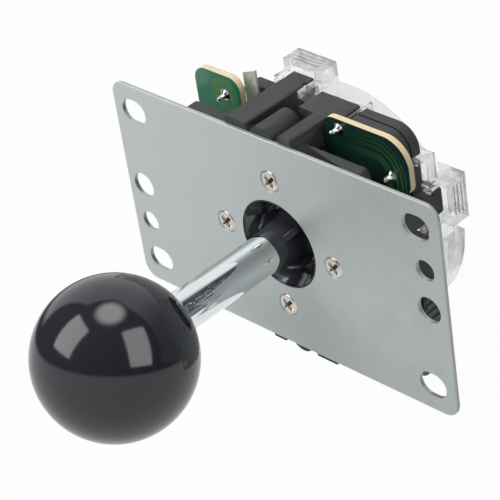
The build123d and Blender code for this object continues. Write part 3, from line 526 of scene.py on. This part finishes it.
contact_spot = (0.0119, 0.0276)
common_spots = ((-0.0218, 0.0251), (-0.0209, 0.0258))
for side in range(4):
    turn = Matrix.Rotation(-math.pi / 2 * side, 2)
    for number, spot in enumerate((contact_spot, common_spots[side % 2])):
        bend = 3.6 + 0.5 * number
        add_joint(turn @ Vector(spot), radius=0.0014, height=0.0015, bend=bend, reach=0.0005)
for number in range(5):
    low_pin, high_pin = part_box("connector_pin_%d" % (number + 1))
    spot = Vector((0.5 * (low_pin.x + high_pin.x), high_pin.y - 0.00032))
    add_joint(spot, radius=0.0009, height=0.0011, bend=1.0, reach=0.0001)
bmesh.ops.remove_doubles(solder, verts=solder.verts, dist=same_spot)
bmesh.ops.recalc_face_normals(solder, faces=solder.faces)
solder_joints = add_piece(solder, "solder_joints", tin_finish)
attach(solder_joints, "base")

# Board socket: a black box on the board's east edge with its black plug pushed in, seen as
# a dark, ribbed side through the plate's side hole. Its mouth faces outwards.
socket_finish = Finish("black_nylon_socket", Specular_IOR_Level=0.45)
x, y, z = socket_finish.place()
speck = socket_finish.grain(5.0, 2.0)
tone = socket_finish.colour(speck, (0.040, 0.042, 0.046), (0.062, 0.065, 0.070))
socket_finish.feed("Base Color", tone)
socket_finish.feed("Roughness", 0.42 + speck * 0.14)
socket_finish.relief(speck, 0.02, 0.4)
socket_low = Vector((0.0284, -0.0217, board_face + 0.00005))
socket_high = Vector((0.0322, -0.0022, board_face + 0.0052))
plug_low = Vector((0.0296, -0.0206, board_face + 0.00005))
plug_high = Vector((0.0360, -0.0027, board_face + 0.0050))
plug_ribs = 9
rib_rise = 0.00035
rib_inset = 0.0004
socket = bmesh.new()


def add_block(low_corner, high_corner):
    """A box between two corners."""
    middle = (low_corner + high_corner) / 2
    extent = high_corner - low_corner
    block = Matrix.Translation(middle) @ Matrix.Diagonal((*extent, 1))
    bmesh.ops.create_cube(socket, size=1.0, matrix=block)


add_block(socket_low, socket_high)
add_block(plug_low, plug_high)
pitch = (plug_high.y - plug_low.y) / plug_ribs
for number in range(plug_ribs):
    near = plug_low.y + pitch * (number + 0.25)
    far = plug_low.y + pitch * (number + 0.75)
    rib_low = Vector((plug_high.x - 0.0003, near, plug_low.z + rib_inset))
    rib_high = Vector((plug_high.x + rib_rise, far, plug_high.z - rib_inset))
    add_block(rib_low, rib_high)
bmesh.ops.recalc_face_normals(socket, faces=socket.faces)
bmesh.ops.bevel(
    socket, geom=socket.edges[:], offset=0.0001, affect="EDGES", segments=2, profile=0.5,
    material=-1
)
board_socket = add_piece(socket, "board_socket", socket_finish, smooth=False)
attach(board_socket, "base")

# Terminals and header pins: stamped from tinned brass strip, dulled where it was bent.
# The north one shows its lug behind the board's tab.
strip_finish = Finish("tinned_strip", Metallic=0.35)
x, y, z = strip_finish.place()
stain = strip_finish.grain(0.8, 3.0)
drawn = strip_finish.grain(4.0, 2.0, (1.0, 0.1, 1.0))
strip_finish.feed("Base Color", strip_finish.colour(stain, (0.62, 0.58, 0.51), (0.86, 0.82, 0.74)))
strip_finish.feed("Roughness", 0.38 + stain * 0.2)
strip_finish.relief(drawn, 0.01, 0.3)
sides = ("north", "east", "south", "west")
for side in sides:
    strip_finish.on("common_terminal_" + side, "contact_terminal_" + side)
strip_finish.on(*["connector_pin_%d" % (number + 1) for number in range(5)])

# Switch cases: two black half shells each, closed by heat, with a fine joint line.
# Their plungers are small red mouldings.
case_finish = Finish("switch_case_black", Specular_IOR_Level=0.30)
x, y, z = case_finish.place()
joint_z = -15.4
seam = 1.0 - (z - joint_z).size().past(0.06, 0.08)
spark = case_finish.grain(7.0, 2.0)
tone = case_finish.colour(seam, (0.030, 0.030, 0.032), (0.006, 0.006, 0.006))
case_finish.feed("Base Color", tone)
case_finish.feed("Roughness", 0.36 + spark * 0.12)
case_finish.relief(spark * 0.4 - seam, 0.05, 0.4)
plunger_finish = Finish("plunger_red", Specular_IOR_Level=0.45)
x, y, z = plunger_finish.place()
cloud = plunger_finish.grain(1.2, 2.0)
tone = plunger_finish.colour(cloud, (0.42, 0.03, 0.02), (0.34, 0.02, 0.016))
plunger_finish.feed("Base Color", tone)
plunger_finish.feed("Roughness", 0.30 + cloud * 0.12)
for side in sides:
    case_finish.on("switch_" + side)
    plunger_finish.on("plunger_" + side)

# Connector header: a white nylon box, slightly translucent, with moulding haze.
header_finish = Finish("white_nylon", Subsurface_Weight=0.08, Specular_IOR_Level=0.4)
x, y, z = header_finish.place()
haze = header_finish.grain(0.8, 2.0)
header_finish.feed("Base Color", header_finish.colour(haze, (0.82, 0.81, 0.77), (0.75, 0.74, 0.69)))
header_finish.feed("Roughness", 0.38 + haze * 0.16)
header_finish.on("connector_header")

# Gate frame and dial: clear polycarbonate with flow lines that ripple what is seen through
# it. The frame clips on the housing's long ribs. Painted shade: the clips are painted greyer
# than the thin rim, corners have a painted dark line, and the leg that the board socket
# shelters is painted dark.
clear_finish = Finish("clear_polycarbonate", Transmission_Weight=0.9, IOR=1.38)
x, y, z = clear_finish.place()
ripple = clear_finish.grain(0.35, 2.0)
scuff = clear_finish.grain(5.0, 2.0)
milky_above = -21.7
clips_beyond = 26.6
milky = z.past(milky_above, 0.3)
grazing = clear_finish.node("ShaderNodeLayerWeight", {}, {"Blend": 0.4}, "Facing")
clips = x.size().most(y.size()).past(clips_beyond, 0.8)
# Painted shade: clear faces seen slanting, most of all on the clips, are painted grey.
grazing_grey_shade = grazing.past(0.16, 0.28) * (0.5 + ripple * 0.9) * (0.22 + clips * 0.62)
tone = clear_finish.colour(grazing_grey_shade, (0.98, 0.99, 0.99), (0.22, 0.23, 0.24))
# Painted shade: a dark line is painted along the corners, broken up by noise.
rounded = clear_finish.node("ShaderNodeBevel", {"samples": 4}, {"Radius": 0.00022})
flat = clear_finish.node("ShaderNodeNewGeometry", {}, {}, "Normal")
agree = clear_finish.dot(rounded, flat)
corner_shade_line = 1.0 - agree.past(0.86, 0.12)
corner_shade_patches = clear_finish.grain(0.9, 2.0).past(0.42, 0.2)
tone = clear_finish.colour(corner_shade_line * corner_shade_patches * 0.9, tone, (0.03, 0.03, 0.03))
tone = clear_finish.colour(milky, tone, (0.95, 0.95, 0.93))
# Painted shade: the leg behind the board socket is painted dark and more opaque.
sheltered_leg_shade = x.past(25.0, 0.5) * z.past(-18.6, 0.8)
sheltered_leg_shade = sheltered_leg_shade * y.past(2.6, 0.4) * (1.0 - y.past(6.5, 0.5))
tone = clear_finish.colour(sheltered_leg_shade * 0.9, tone, (0.03, 0.03, 0.03))
clear_finish.feed("Base Color", tone)
clear_finish.feed("Roughness", 0.03 + scuff.past(0.55, 0.3) * 0.12)
cover = 0.13 + grazing_grey_shade * 0.62 + milky * 0.22 + corner_shade_line * 0.5
clear_finish.feed("Alpha", cover.least(1.0).most(sheltered_leg_shade * 0.9))
clear_finish.relief(ripple, 0.15, 0.25)
clear_finish.on("gate_frame", "gate_plate")

# Coil spring, washer and retaining ring at the lower end of the shaft: plain spring steel,
# oiled, the ring blued. The spring is wound as a rigid coil, so its top is lowered by the
# room that it needs when the lever tilts.
wire_finish = Finish("oiled_spring_steel", Metallic=1.0)
x, y, z = wire_finish.place()
drawn = wire_finish.grain(2.0, 3.0)
tone = wire_finish.colour(drawn, (0.36, 0.36, 0.37), (0.24, 0.24, 0.25))
wire_finish.feed("Base Color", tone)
wire_finish.feed("Roughness", 0.24 + drawn * 0.16)
wire_finish.on("centering_spring", "clip_washer")
low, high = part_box("centering_spring")
wire_radius = 0.00045
coil_radius = high.x - wire_radius
spring_turns = 3.5
tilt_room = 0.0014
steps_a_turn = 40
coil_steps = int(spring_turns * steps_a_turn)
rise = high.z - low.z - 2 * wire_radius - tilt_room
coil = bmesh.new()
upright = Matrix.Rotation(math.pi / 2, 4, "X")
section = bmesh.ops.create_circle(
    coil, segments=10, radius=wire_radius, cap_ends=False,
    matrix=Matrix.Translation((coil_radius, 0, low.z + wire_radius)) @ upright
)["verts"]
section_edges = list({edge for vert in section for edge in vert.link_edges})
coil.faces.new(section)
spun = bmesh.ops.spin(
    coil, geom=section + section_edges, cent=(0, 0, 0), axis=(0, 0, 1),
    dvec=(0, 0, rise / coil_steps), angle=2 * math.pi * spring_turns, steps=coil_steps
)
open_end = [part for part in spun["geom_last"] if isinstance(part, bmesh.types.BMEdge)]
bmesh.ops.holes_fill(coil, edges=open_end)
bmesh.ops.recalc_face_normals(coil, faces=coil.faces)
coil_spring = add_piece(coil, "coil_spring", wire_finish, sharp_degrees=50)
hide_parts("centering_spring")
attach(coil_spring, "lever")
blued_finish = Finish("blued_spring_steel", Metallic=1.0)
x, y, z = blued_finish.place()
temper = blued_finish.grain(0.9, 3.0)
tone = blued_finish.colour(temper, (0.07, 0.08, 0.11), (0.15, 0.15, 0.17))
blued_finish.feed("Base Color", tone)
blued_finish.feed("Roughness", 0.28 + temper * 0.18)
blued_finish.on("retaining_clip")

# Shaft: 9 mm steel bar, turned down at both ends, ground and chromed bright, with fine
# rubbing marks round it. It is spun from its turned profile.
chrome_finish = Finish("bright_chrome", Metallic=1.0)
x, y, z = chrome_finish.place()
rub = chrome_finish.grain(1.2, 3.0, (0.3, 0.3, 3.0))
worn = (x * 0.75 + y * 0.66).past(4.1, 0.3) * z.past(12.0, 10.0)
pits = chrome_finish.grain(6.5, 3.0, (1.0, 1.0, 0.6)).past(0.56, 0.05) * worn
tone = chrome_finish.colour(rub, (0.80, 0.82, 0.83), (0.74, 0.76, 0.78))
tone = chrome_finish.colour(pits * 0.6, tone, (0.50, 0.56, 0.72))
chrome_finish.feed("Base Color", tone)
chrome_finish.feed("Roughness", 0.035 + rub.past(0.5, 0.4) * 0.06 + pits * 0.16)
chrome_finish.relief(rub * 0.4 - pits, 0.006, 0.3)
low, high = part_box("shaft")
shoulder = 0.0042
grip = 0.0045
thin = 0.0030
ball_seat = 0.0317
groove_low = -0.02615
groove_high = -0.0255
groove_depth = 0.0006
outline = [
    (0.0, low.z), (thin - 0.00015, low.z), (thin, low.z + 0.00015), (thin, groove_low),
    (thin - groove_depth, groove_low), (thin - groove_depth, groove_high),
    (thin, groove_high), (thin, shoulder), (grip - 0.0002, shoulder),
    (grip, shoulder + 0.0002), (grip, ball_seat), (thin, ball_seat),
    (thin, high.z - 0.0003), (thin - 0.0003, high.z), (0.0, high.z),
]
bar = bmesh.new()
turn_profile(bar, outline, 96)
bmesh.ops.remove_doubles(bar, verts=bar.verts, dist=same_spot)
bmesh.ops.recalc_face_normals(bar, faces=bar.faces)
chromed_shaft = add_piece(bar, "chromed_shaft", chrome_finish, sharp_degrees=35)
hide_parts("shaft")
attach(chromed_shaft, "handle")

# Ball top: cast black phenolic, 35 mm, buffed to a deep gloss that has begun to pick up
# hairlines. The flat under it is where it seats on the shaft.
ball_finish = Finish("buffed_black_ball", Specular_IOR_Level=0.55)
x, y, z = ball_finish.place()
hairline = ball_finish.grain(2.0, 4.0, (1.0, 0.15, 1.0))
bloom = ball_finish.grain(0.08, 2.0)
tone = ball_finish.colour(bloom, (0.0165, 0.0165, 0.0232), (0.0195, 0.0198, 0.0270))
ball_finish.feed("Base Color", tone)
ball_finish.feed("Roughness", 0.075 + hairline.past(0.62, 0.2) * 0.05 + bloom * 0.03)
ball_radius = 0.0175
ball_height = 0.0484
bore_radius = 0.00305
bore_mouth = 0.00335
mouth_depth = 0.0003
bore_depth = 0.0138
ball = bmesh.new()
bmesh.ops.create_uvsphere(
    ball, u_segments=128, v_segments=64, radius=ball_radius,
    matrix=Matrix.Translation((0, 0, ball_height))
)
cut = bmesh.ops.bisect_plane(
    ball, geom=ball.verts[:] + ball.edges[:] + ball.faces[:], dist=1e-7,
    plane_co=(0, 0, ball_seat), plane_no=(0, 0, -1), clear_outer=True
)
loop = [part for part in cut["geom_cut"] if isinstance(part, bmesh.types.BMEdge)]
bore_rings = ((bore_mouth, 0.0), (bore_radius, mouth_depth), (bore_radius, bore_depth))
for ring_radius, depth in bore_rings:
    ring = bmesh.ops.extrude_edge_only(ball, edges=loop)["geom"]
    for part in ring:
        if isinstance(part, bmesh.types.BMVert):
            flat = Vector((part.co.x, part.co.y, 0)).normalized() * ring_radius
            part.co = Vector((flat.x, flat.y, ball_seat + depth))
    loop = [part for part in ring if isinstance(part, bmesh.types.BMEdge)]
bmesh.ops.holes_fill(ball, edges=loop)
bmesh.ops.recalc_face_normals(ball, faces=ball.faces)
buffed_ball = add_piece(ball, "buffed_ball", ball_finish, sharp_degrees=40)
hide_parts("ball_top")
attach(buffed_ball, "handle")

# Studio: a pale table that shows white to the lens, a white sweep behind it, a dark room
# behind the photographer, and three soft lamps that the ball mirrors.
table_finish = Finish("pale_table", Roughness=0.9, Specular_IOR_Level=0.0)
table_finish.feed("Base Color", (0.60, 0.60, 0.60, 1.0))
seen, mirrored, through = table_finish.rays()
glow = table_finish.node("ShaderNodeEmission", {}, {"Color": (1, 1, 1, 1), "Strength": 1.0})
shaded = Value(table_finish, table_finish.shader.outputs[0])
open_way = table_finish.node("ShaderNodeBsdfTransparent", {}, {})
white = seen.most(through) * 0.97
mixed = table_finish.node("ShaderNodeMixShader", {}, {0: white, 1: shaded, 2: glow})
gloss = mirrored * (1.0 - through)
mixed = table_finish.node("ShaderNodeMixShader", {}, {0: gloss, 1: mixed, 2: open_way})
output = table_finish.tree.nodes["Material Output"]
table_finish.tree.links.new(mixed.socket, output.inputs["Surface"])
clearance = 0.00002
top = Matrix.Translation((0, 0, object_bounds()[0].z - clearance))
floor = bmesh.new()
bmesh.ops.create_grid(floor, x_segments=1, y_segments=1, size=3.0, matrix=top)
table = add_piece(floor, "table", table_finish, smooth=False)

world = bpy.data.worlds.new("studio")
bpy.context.scene.world = world
world.use_nodes = True
room = Shading(world.node_tree)
direction = room.node("ShaderNodeTexCoord", {}, {}, "Generated")


def along(axis):
    """How far the direction looks along an axis, from -1 to 1."""
    return room.dot(direction, axis)


def from_camera(parts):
    """A direction given as right, up and away."""
    return right * parts[0] + up * parts[1] + away * parts[2]


def lamp_patch(middle, across, wide, tall, soft):
    """A soft-edged window of light; middle and across are given as right, up and away."""
    middle = from_camera(middle).normalized()
    across = from_camera(across)
    across = (across - middle * across.dot(middle)).normalized()
    upward = middle.cross(across)
    depth = along(middle).most(0.05)
    inside_x = 1.0 - (along(across) / depth).size().past(wide - soft / 2, soft)
    inside_y = 1.0 - (along(upward) / depth).size().past(tall - soft / 2, soft)
    return inside_x * inside_y * along(middle).past(0.3, 0.01)


def round_patch(middle, radius, soft):
    """A round lamp, brightest in the middle."""
    middle = from_camera(middle).normalized()
    reach = (1.0 / (along(middle).most(0.05) ** 2.0) - 1.0).most(0.0) ** 0.5
    return (1.0 - reach.past(radius - soft, soft * 1.3)) * along(middle).past(0.3, 0.01)


height = along(up)
depth = along(away)
side = along(right)
table_light = 1.0 - (height - depth * 0.29 + 0.14).past(0.0, 0.08)
front = depth + 0.06 + (side.most(0.0) * 0.7).least(side * 0.20 + 0.14)
sweep = front.past(-0.04, 0.10) * (side + depth * 0.42).past(-0.52, 0.08)
sweep = sweep * (height + side.most(0.0) * 0.4).past(0.24, 0.14)
sweep = sweep * (1.0 - side.past(0.25, 0.6) * 0.78)
lit = (table_light * 0.86).most(sweep * 0.94) + 0.055
above = round_patch((-0.066, 0.902, -0.426), 0.34, 0.16)
left = lamp_patch((-0.819, 0.437, -0.371), (0.223, -0.354, -0.908), 0.290, 0.385, 0.07)
front_right = lamp_patch((0.562, 0.282, -0.777), (0.782, 0.124, 0.611), 0.285, 0.450, 0.07)
lit = lit.most(above * 4.6).most(left * 4.2).most(front_right * 3.6)
seen, mirrored, through = room.rays()
bent = mirrored.most(through)
east = along(Vector((1.0, 0.0, 0.0)))
ambient = 0.60 - east.most(0.0) * 0.50
level = seen + (1.0 - seen) * (bent * lit + (1.0 - bent) * ambient)
background = room.tree.nodes["Background"]
room.tree.links.new(level.socket, background.inputs["Strength"])
background.inputs["Color"].default_value = (1, 1, 1, 1)

lamp_distance = 0.9
lamp_size = 0.6
for name, direction_to, watts in (
    ("overhead_lamp", (-0.042, 0.990, -0.132), 9.0),
    ("left_lamp", (-0.429, 0.674, 0.601), 4.4),
    ("right_lamp", (0.797, 0.600, 0.30), 0.9),
):
    lamp_data = bpy.data.lights.new(name, "AREA")
    lamp_data.size = lamp_size
    lamp_data.energy = watts
    lamp = bpy.data.objects.new(name, lamp_data)
    towards = Vector(direction_to).normalized()
    lamp.location = towards * lamp_distance
    lamp.rotation_mode = "QUATERNION"
    lamp.rotation_quaternion = towards.to_track_quat("Z", "Y")
    lamp.visible_glossy = False
    lamp.visible_camera = False
    bpy.context.scene.collection.objects.link(lamp)
